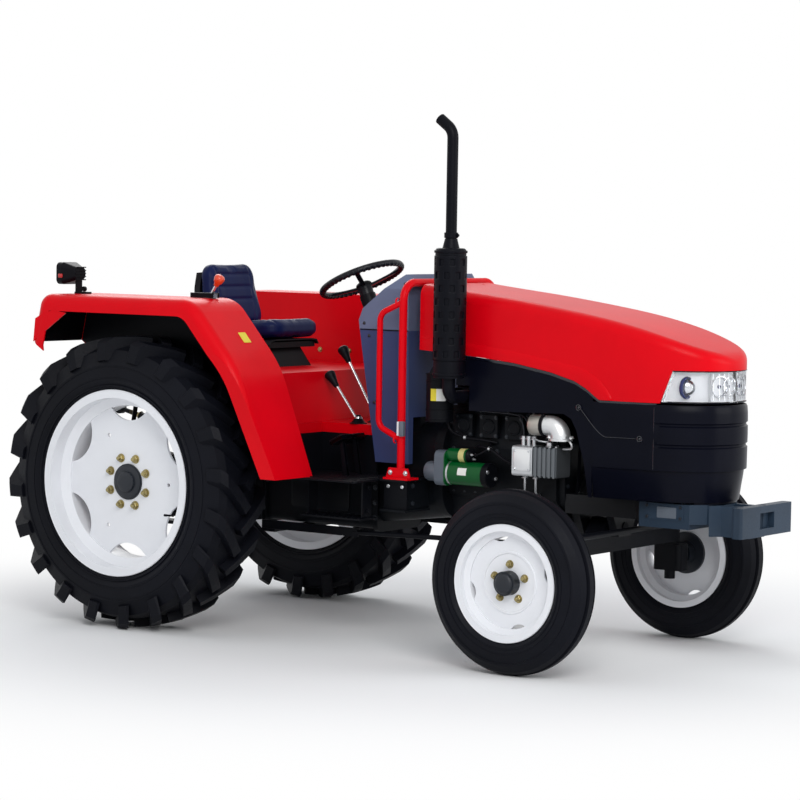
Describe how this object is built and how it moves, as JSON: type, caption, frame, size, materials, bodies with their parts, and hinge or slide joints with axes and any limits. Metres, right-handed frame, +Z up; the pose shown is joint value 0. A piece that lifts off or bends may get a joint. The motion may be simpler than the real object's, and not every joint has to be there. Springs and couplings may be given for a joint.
{
  "type": "farm tractor",
  "caption": "Two-wheel-drive farm tractor with an open platform, side exhaust stack, rear fenders and a rear three-point hitch.",
  "frame": {"origin": "on the ground, on the middle plane, half way between the lower links' ends and the tow plate's front face", "axes": "+X forwards, +Y to the driver's left, +Z up"},
  "size_m": [3.37, 1.558, 2.1117],
  "materials": {
    "red_paint": "gloss red enamel",
    "white_paint": "gloss white enamel",
    "black_paint": "satin black enamel",
    "grey_paint": "satin blue grey enamel",
    "green_paint": "gloss green enamel",
    "exhaust_black": "matt heat resistant black",
    "tyre": "black rubber",
    "dark_iron": "dark painted casting",
    "blue_grey_casting": "blue grey painted casting",
    "engine_black": "black painted casting",
    "bare_aluminium": "bare die casting",
    "nose_black": "satin black moulding",
    "dark_plastic": "black moulding",
    "wheel_black": "hard black grip",
    "seat_vinyl": "dark navy vinyl over foam",
    "lamp_glass": "clear lens over bright reflectors",
    "bright_rod": "bright plated rods with plastic knobs"
  },
  "bodies": {
    "chassis": {"air_cleaner": "black_paint", "console": "grey_paint", "controls": "bright_rod", "cylinder_head": "engine_black", "drawbar": "black_paint", "engine_block": "engine_black", "exhaust": "exhaust_black", "fan": "black_paint", "fenders": "red_paint", "front_axle": "black_paint", "front_support": "blue_grey_casting", "guard_frame": "red_paint", "injection_pump": "bare_aluminium", "intake_elbow": "bare_aluminium", "nose_grille": "nose_black", "platform": "red_paint", "radiator": "black_paint", "radius_rods": "black_paint", "seat": "seat_vinyl", "seat_base": "black_paint", "side_panels": "nose_black", "starter_motor": "green_paint", "steering_column": "dark_plastic", "tow_plate": "blue_grey_casting", "transmission": "engine_black", "work_lamp": "dark_plastic"},
    "hood": {"hood": "red_paint", "headlamps": "lamp_glass"},
    "steering_wheel": {"steering_wheel": "wheel_black"},
    "knuckle_left": {"knuckle_left": "black_paint"},
    "knuckle_right": {"knuckle_right": "black_paint"},
    "tie_rod": {"tie_rod": "black_paint"},
    "pitman_arm": {"pitman_arm": "black_paint"},
    "drag_link": {"drag_link": "black_paint"},
    "lift_arms": {"lift_arms": "black_paint"},
    "lift_rods": {"lift_rods": "black_paint"},
    "lower_links": {"lower_links": "black_paint"},
    "top_link": {"top_link": "black_paint"},
    "front_wheel_left": {"front_tyre_left": "tyre", "front_rim_left": "white_paint", "front_hub_left": "dark_iron"},
    "front_wheel_right": {"front_tyre_right": "tyre", "front_rim_right": "white_paint", "front_hub_right": "dark_iron"},
    "rear_wheel_left": {"rear_tyre_left": "tyre", "rear_rim_left": "white_paint", "rear_hub_left": "dark_iron"},
    "rear_wheel_right": {"rear_tyre_right": "tyre", "rear_rim_right": "white_paint", "rear_hub_right": "dark_iron"}
  },
  "joints": [
    {"name": "rear_wheel_left_spin", "type": "hinge", "parent": "chassis", "child": "rear_wheel_left", "pos_m": [-0.915, 0.635, 0.602], "axis": [0, 1, 0], "continuous": true},
    {"name": "knuckle_left_steer", "type": "hinge", "parent": "chassis", "child": "knuckle_left", "pos_m": [0.965, 0.52, 0.35], "axis": [0, 0, 1], "range_deg": [-42, 42]},
    {"name": "front_wheel_left_spin", "type": "hinge", "parent": "knuckle_left", "child": "front_wheel_left", "pos_m": [0.965, 0.645, 0.35], "axis": [0, 1, 0], "continuous": true},
    {"name": "rear_wheel_right_spin", "type": "hinge", "parent": "chassis", "child": "rear_wheel_right", "pos_m": [-0.915, -0.635, 0.602], "axis": [0, 1, 0], "continuous": true},
    {"name": "knuckle_right_steer", "type": "hinge", "parent": "chassis", "child": "knuckle_right", "pos_m": [0.965, -0.52, 0.35], "axis": [0, 0, 1], "range_deg": [-42, 42]},
    {"name": "front_wheel_right_spin", "type": "hinge", "parent": "knuckle_right", "child": "front_wheel_right", "pos_m": [0.965, -0.645, 0.35], "axis": [0, 1, 0], "continuous": true},
    {"name": "steering_turn", "type": "hinge", "parent": "chassis", "child": "steering_wheel", "pos_m": [-0.236, 0, 1.448], "axis": [-0.4226, 0, 0.9063], "range_deg": [-480, 480]},
    {"name": "tie_rod_swing", "type": "hinge", "parent": "knuckle_left", "child": "tie_rod", "pos_m": [1.115, 0.52, 0.51], "axis": [0, 0, 1], "range_deg": [-42, 42]},
    {"name": "pitman_swing", "type": "hinge", "parent": "chassis", "child": "pitman_arm", "pos_m": [0.385, 0.303, 0.735], "axis": [0, 1, 0], "range_deg": [-42, 42]},
    {"name": "drag_link_swing", "type": "hinge", "parent": "pitman_arm", "child": "drag_link", "pos_m": [0.385, 0.303, 0.585], "axis": [0, 1, 0], "range_deg": [-42, 42]},
    {"name": "hood_open", "type": "hinge", "parent": "chassis", "child": "hood", "pos_m": [0.265, 0, 1.424], "axis": [0, -1, 0], "range_deg": [0, 50]},
    {"name": "hitch_lift", "type": "hinge", "parent": "chassis", "child": "lift_arms", "pos_m": [-0.955, 0, 0.905], "axis": [0, 1, 0], "range_deg": [-15, 40]},
    {"name": "lift_rod_swing", "type": "hinge", "parent": "lift_arms", "child": "lift_rods", "pos_m": [-1.245, 0, 0.905], "axis": [0, 1, 0], "range_deg": [-40, 18]},
    {"name": "lower_link_swing", "type": "hinge", "parent": "chassis", "child": "lower_links", "pos_m": [-0.875, 0, 0.445], "axis": [0, 1, 0], "range_deg": [-12, 30]},
    {"name": "top_link_swing", "type": "hinge", "parent": "chassis", "child": "top_link", "pos_m": [-1.129, 0, 0.74], "axis": [0, 1, 0], "range_deg": [-30, 45]}
  ],
  "couplings": [
    {"joint": "knuckle_left_steer", "follows": "steering_turn", "ratio": 0.083333},
    {"joint": "knuckle_right_steer", "follows": "steering_turn", "ratio": 0.083333},
    {"joint": "tie_rod_swing", "follows": "steering_turn", "ratio": -0.083333},
    {"joint": "pitman_swing", "follows": "steering_turn", "ratio": -0.083333},
    {"joint": "drag_link_swing", "follows": "steering_turn", "ratio": 0.083333},
    {"joint": "lift_rod_swing", "follows": "hitch_lift", "ratio": -0.925},
    {"joint": "lower_link_swing", "follows": "hitch_lift", "ratio": 0.64}
  ]
}
